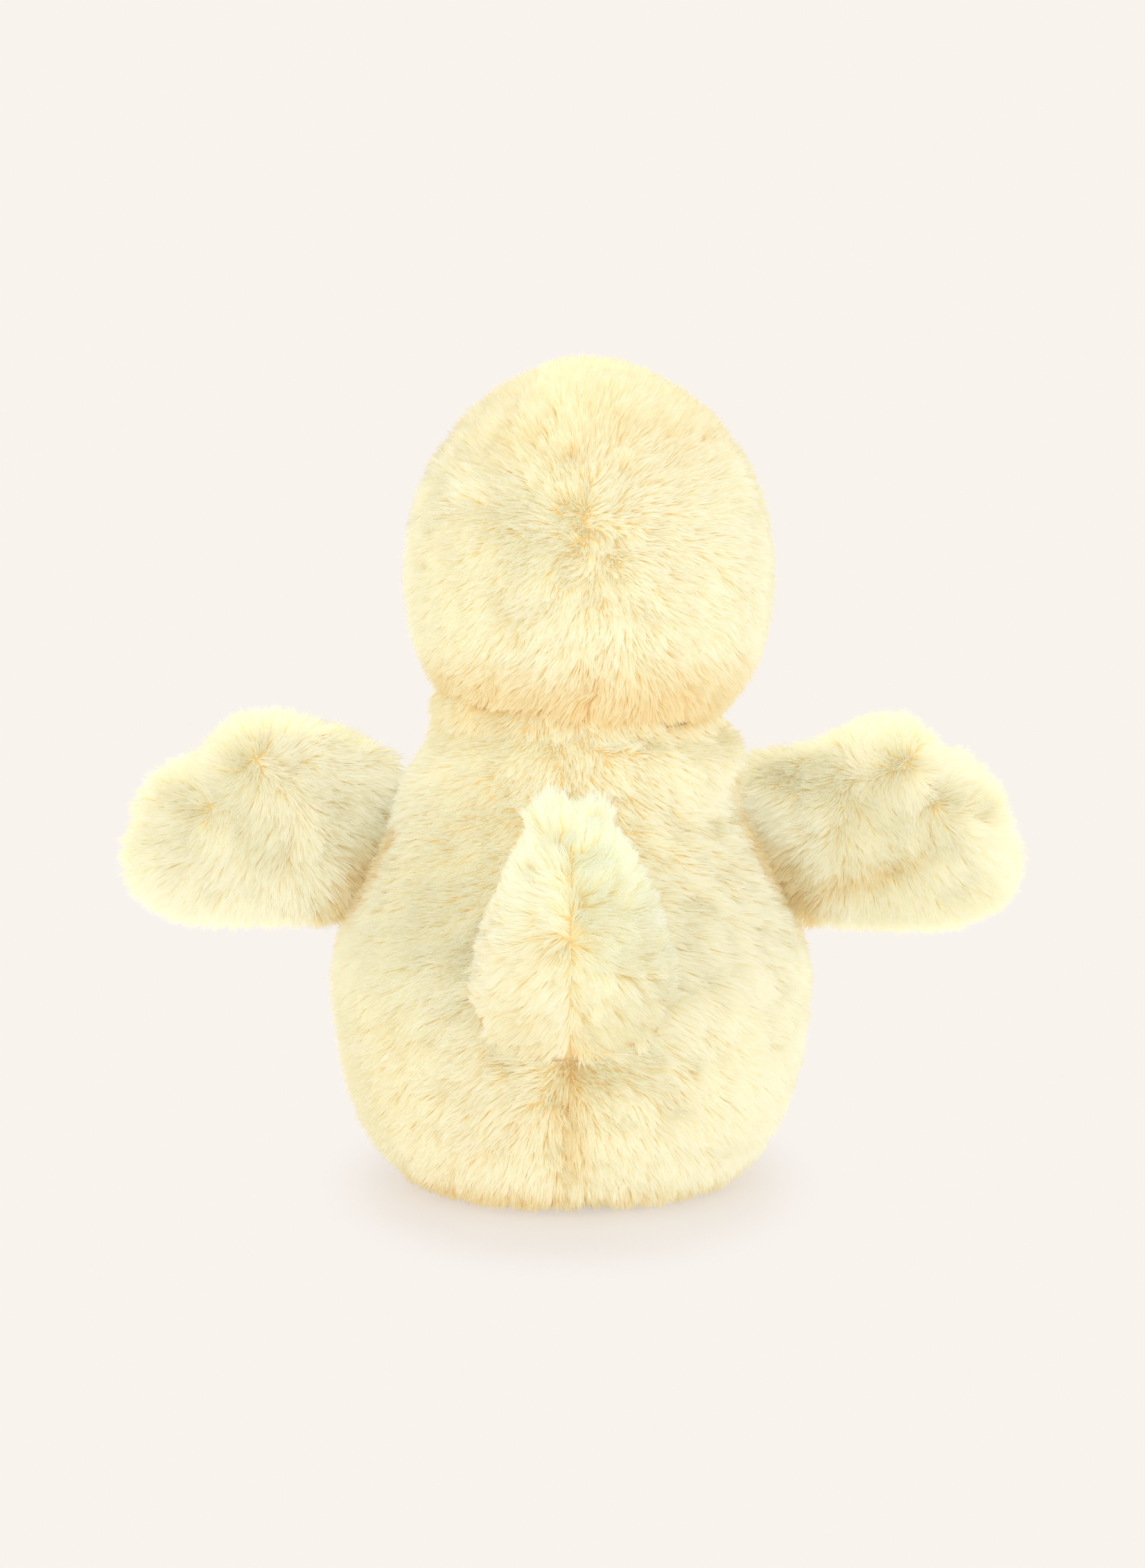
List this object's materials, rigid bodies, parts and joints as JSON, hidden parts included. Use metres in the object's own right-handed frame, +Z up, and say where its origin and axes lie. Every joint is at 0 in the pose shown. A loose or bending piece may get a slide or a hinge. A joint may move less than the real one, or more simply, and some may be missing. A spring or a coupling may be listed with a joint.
{
  "type": "plush duckling",
  "caption": "Sitting plush duckling with spread wings, raised tail, felt bill and feet, fibre filling and a bean pouch in its flat seat.",
  "frame": {"origin": "centre of the flat seat, on the surface that the toy stands on", "axes": "+Z up, the toy looks along -Y, and its left wing points to +X"},
  "size_m": [0.1907, 0.1334, 0.1765],
  "materials": {
    "plush": "long soft pile, cream yellow with orange-tan roots",
    "tail_plush": "long soft pile, paler greenish cream",
    "felt": "short brushed felt, orange",
    "filling": "loose white polyester fibre",
    "pouch_cloth": "plain woven cotton, filled with pellets",
    "eye": "polished black",
    "washer": "moulded white"
  },
  "bodies": {
    "body": {"base_panel": "plush", "bean_pouch": "pouch_cloth", "belly_panel": "plush", "body_left_panel": "plush", "body_right_panel": "plush", "body_stuffing": "filling", "tail_left_panel": "tail_plush", "tail_right_panel": "tail_plush", "tail_stuffing": "filling"},
    "head": {"head_left_panel": "plush", "head_right_panel": "plush", "head_stuffing": "filling", "left_eye": "eye", "left_eye_washer": "washer", "right_eye": "eye", "right_eye_washer": "washer", "bill_top": "felt", "bill_underside": "felt", "bill_stuffing": "filling"},
    "left_wing": {"left_wing_back_skin": "plush", "left_wing_front_skin": "plush", "left_wing_stuffing": "filling"},
    "right_wing": {"right_wing_back_skin": "plush", "right_wing_front_skin": "plush", "right_wing_stuffing": "filling"},
    "left_foot": {"left_foot_top": "felt", "left_foot_sole": "felt", "left_foot_stuffing": "filling"},
    "right_foot": {"right_foot_top": "felt", "right_foot_sole": "felt", "right_foot_stuffing": "filling"}
  },
  "joints": [
    {"name": "head_turn", "type": "hinge", "parent": "body", "child": "head", "pos_m": [-0.0038, 0, 0.128], "axis": [0, 0, 1], "range_deg": [-20, 20], "stiffness_Nm_per_rad": 0.05},
    {"name": "left_wing_flap", "type": "hinge", "parent": "body", "child": "left_wing", "pos_m": [0.044, 0, 0.07251], "axis": [-0.391, 0, 0.9204], "range_deg": [-25, 25], "stiffness_Nm_per_rad": 0.02},
    {"name": "right_wing_flap", "type": "hinge", "parent": "body", "child": "right_wing", "pos_m": [-0.044, 0, 0.07251], "axis": [-0.391, 0, -0.9204], "range_deg": [-25, 25], "stiffness_Nm_per_rad": 0.02},
    {"name": "left_foot_lift", "type": "hinge", "parent": "body", "child": "left_foot", "pos_m": [0.01869, -0.03515, 0.0048], "axis": [-0.8829, -0.4695, 0], "range_deg": [0, 20], "stiffness_Nm_per_rad": 0.02},
    {"name": "right_foot_lift", "type": "hinge", "parent": "body", "child": "right_foot", "pos_m": [-0.01869, -0.03515, 0.0048], "axis": [-0.8829, 0.4695, 0], "range_deg": [0, 20], "stiffness_Nm_per_rad": 0.02}
  ]
}
